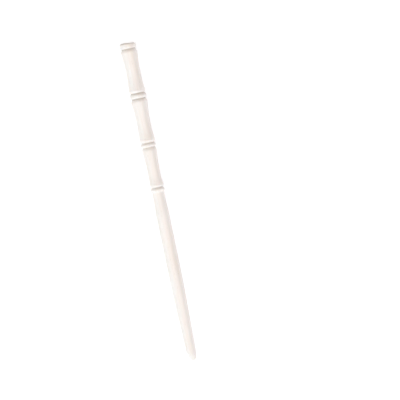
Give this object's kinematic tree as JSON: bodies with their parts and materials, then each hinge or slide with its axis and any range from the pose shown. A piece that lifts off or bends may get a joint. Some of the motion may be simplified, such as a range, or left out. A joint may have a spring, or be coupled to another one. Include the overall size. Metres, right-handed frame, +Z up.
{
  "type": "hair stick",
  "caption": "Slim one-piece hair stick with a bamboo-jointed handle and a plain round shaft that tapers to a blunt tip, pushed through a bun to hold it.",
  "frame": {"origin": "on the surface that the stick rests on, under the middle of its length", "axes": "+X along the stick towards its tip, +Y across it, +Z up; the stick's own axis falls by about half a degree towards the tip, as it does at rest"},
  "size_m": [0.1816, 0.0092, 0.0095],
  "materials": {
    "bone": "bleached bone, turned and polished to a satin gloss"
  },
  "bodies": {
    "root": {"stick": "bone"}
  },
  "joints": []
}
